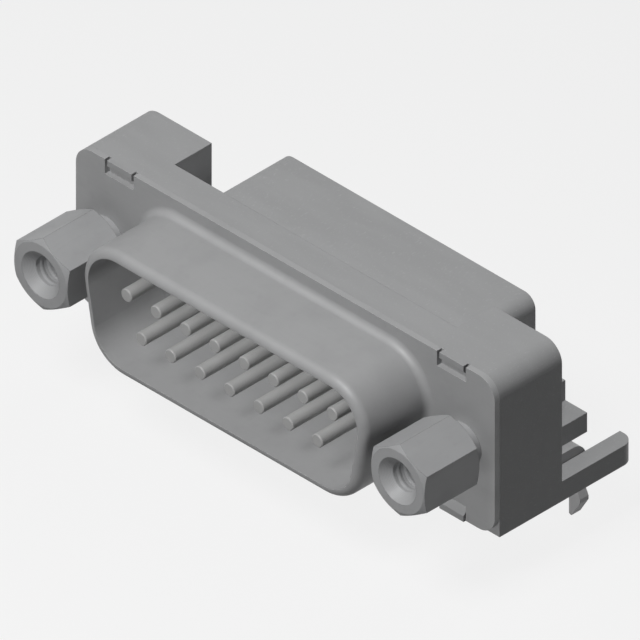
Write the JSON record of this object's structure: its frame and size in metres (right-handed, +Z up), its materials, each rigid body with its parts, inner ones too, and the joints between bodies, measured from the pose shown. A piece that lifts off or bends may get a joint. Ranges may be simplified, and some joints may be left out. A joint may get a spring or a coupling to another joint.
{
  "type": "d-sub connector",
  "caption": "Right-angle D-subminiature plug for a circuit board: two rows of pins in a D-shaped metal shell, hex screwlocks at each side, and forked board locks below.",
  "frame": {"origin": "on the board's surface, midway between the two board locks", "axes": "+Z up from the board, +X along the flange, -Y towards the mating side"},
  "size_m": [0.039, 0.0193, 0.0162],
  "materials": {
    "plated_shell": "satin",
    "housing_plastic": "matte",
    "insulator_plastic": "matte",
    "contact_metal": "satin",
    "screwlock_metal": "satin",
    "lock_metal": "satin"
  },
  "bodies": {
    "root": {"front_shell": "plated_shell", "housing": "housing_plastic", "insulator": "insulator_plastic", "lead_guide": "insulator_plastic", "contact_01": "contact_metal", "contact_02": "contact_metal", "contact_03": "contact_metal", "contact_04": "contact_metal", "contact_05": "contact_metal", "contact_06": "contact_metal", "contact_07": "contact_metal", "contact_08": "contact_metal", "contact_09": "contact_metal", "contact_10": "contact_metal", "contact_11": "contact_metal", "contact_12": "contact_metal", "contact_13": "contact_metal", "contact_14": "contact_metal", "contact_15": "contact_metal", "screwlock_left": "screwlock_metal", "screwlock_right": "screwlock_metal", "board_lock_left": "lock_metal", "board_lock_right": "lock_metal"}
  },
  "joints": []
}
